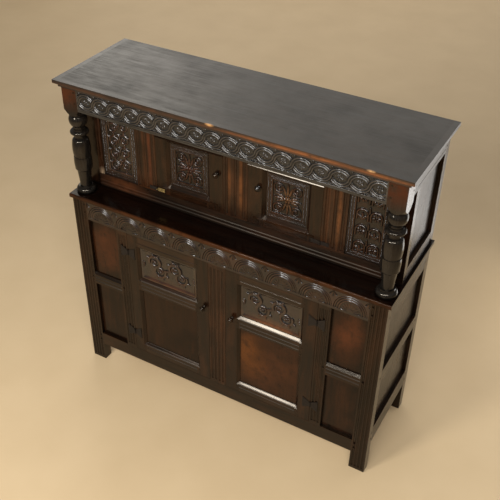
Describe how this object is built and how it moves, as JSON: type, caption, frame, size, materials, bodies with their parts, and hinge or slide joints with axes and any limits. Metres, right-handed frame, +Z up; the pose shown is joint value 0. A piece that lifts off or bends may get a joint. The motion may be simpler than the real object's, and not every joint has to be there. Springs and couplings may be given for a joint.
{
  "type": "court cupboard",
  "caption": "Carved oak court cupboard: panelled doors below, recessed carved doors above under a columned canopy with a lunette frieze.",
  "frame": {"origin": "centre of the bounding box's footprint, on the floor", "axes": "+X to the right along the front, +Y from the front to the back, +Z up; the doors face -Y"},
  "size_m": [1.444, 0.489, 1.426],
  "materials": {
    "oak_dark": "dark waxed oak",
    "oak_worn": "worn reddish waxed oak",
    "oak_plain": "plain dry oak",
    "iron_hinge": "dark wrought iron",
    "brass_hinge": "aged brass"
  },
  "bodies": {
    "carcase": {"back_boards": "oak_plain", "back_rails": "oak_plain", "back_stiles": "oak_dark", "canopy_side_rails": "oak_dark", "carved_frieze": "oak_dark", "column_left": "oak_dark", "column_right": "oak_dark", "floor_boards": "oak_plain", "frame_pegs": "oak_dark", "ledge_boards": "oak_dark", "lower_bottom_rail": "oak_dark", "lower_carved_top_rail": "oak_dark", "lower_centre_muntin": "oak_worn", "lower_fixed_mid_rails": "oak_dark", "lower_fixed_panels": "oak_dark", "lower_front_stile_left": "oak_dark", "lower_front_stile_right": "oak_dark", "lower_hinge_frame_leaves": "iron_hinge", "lower_outer_muntins": "oak_dark", "lower_side_panels": "oak_dark", "lower_side_rails": "oak_dark", "recess_bottom_rail": "oak_worn", "recess_carved_panel_left": "oak_dark", "recess_carved_panel_right": "oak_dark", "recess_head_rail": "oak_dark", "recess_uprights": "oak_worn", "top_boards": "oak_dark", "top_edge_moulding": "oak_worn", "upper_front_stiles": "oak_dark", "upper_hinge_frame_leaves": "iron_hinge", "upper_side_bottom_rails": "oak_dark", "upper_side_panels": "oak_dark"},
    "lower_left_door": {"lower_left_door_stiles": "oak_dark", "lower_left_door_rails": "oak_dark", "lower_left_door_carved_panel": "oak_dark", "lower_left_door_plain_panel": "oak_dark", "lower_left_door_pegs": "oak_dark", "lower_left_door_hinge_leaves": "iron_hinge"},
    "lower_left_door_knob": {"lower_left_door_knob": "oak_worn"},
    "lower_right_door": {"lower_right_door_stiles": "oak_dark", "lower_right_door_rails": "oak_dark", "lower_right_door_carved_panel": "oak_dark", "lower_right_door_plain_panel": "oak_dark", "lower_right_door_pegs": "oak_dark", "lower_right_door_hinge_leaves": "iron_hinge"},
    "lower_right_door_knob": {"lower_right_door_knob": "oak_worn"},
    "upper_left_door": {"upper_left_door_stiles": "oak_dark", "upper_left_door_rails": "oak_dark", "upper_left_door_carved_panel": "oak_dark", "upper_left_door_bead": "oak_dark", "upper_left_door_pegs": "oak_dark", "upper_left_door_hinge_leaves": "brass_hinge"},
    "upper_left_door_knob": {"upper_left_door_knob": "oak_worn"},
    "upper_right_door": {"upper_right_door_stiles": "oak_dark", "upper_right_door_rails": "oak_dark", "upper_right_door_carved_panel": "oak_dark", "upper_right_door_bead": "oak_dark", "upper_right_door_pegs": "oak_dark", "upper_right_door_hinge_leaves": "iron_hinge"},
    "upper_right_door_knob": {"upper_right_door_knob": "oak_worn"}
  },
  "joints": [
    {"name": "lower_left_door_hinge", "type": "hinge", "parent": "carcase", "child": "lower_left_door", "pos_m": [-0.43525, -0.2191, 0.493], "axis": [0, 0, -1], "range_deg": [0, 165]},
    {"name": "lower_left_door_knob_turn", "type": "hinge", "parent": "lower_left_door", "child": "lower_left_door_knob", "pos_m": [-0.0655, -0.2155, 0.575], "axis": [0, -1, 0], "range_deg": [0, 90]},
    {"name": "lower_right_door_hinge", "type": "hinge", "parent": "carcase", "child": "lower_right_door", "pos_m": [0.43525, -0.2191, 0.493], "axis": [0, 0, 1], "range_deg": [0, 165]},
    {"name": "lower_right_door_knob_turn", "type": "hinge", "parent": "lower_right_door", "child": "lower_right_door_knob", "pos_m": [0.0685, -0.2155, 0.575], "axis": [0, 1, 0], "range_deg": [0, 90]},
    {"name": "upper_left_door_hinge", "type": "hinge", "parent": "carcase", "child": "upper_left_door", "pos_m": [-0.34825, -0.1021, 1.125], "axis": [0, 0, -1], "range_deg": [0, 140]},
    {"name": "upper_left_door_knob_turn", "type": "hinge", "parent": "upper_left_door", "child": "upper_left_door_knob", "pos_m": [-0.0685, -0.0985, 1.148], "axis": [0, -1, 0], "range_deg": [0, 90]},
    {"name": "upper_right_door_hinge", "type": "hinge", "parent": "carcase", "child": "upper_right_door", "pos_m": [0.37225, -0.1021, 1.125], "axis": [0, 0, 1], "range_deg": [0, 140]},
    {"name": "upper_right_door_knob_turn", "type": "hinge", "parent": "upper_right_door", "child": "upper_right_door_knob", "pos_m": [0.1125, -0.0985, 1.148], "axis": [0, 1, 0], "range_deg": [0, 90]}
  ]
}
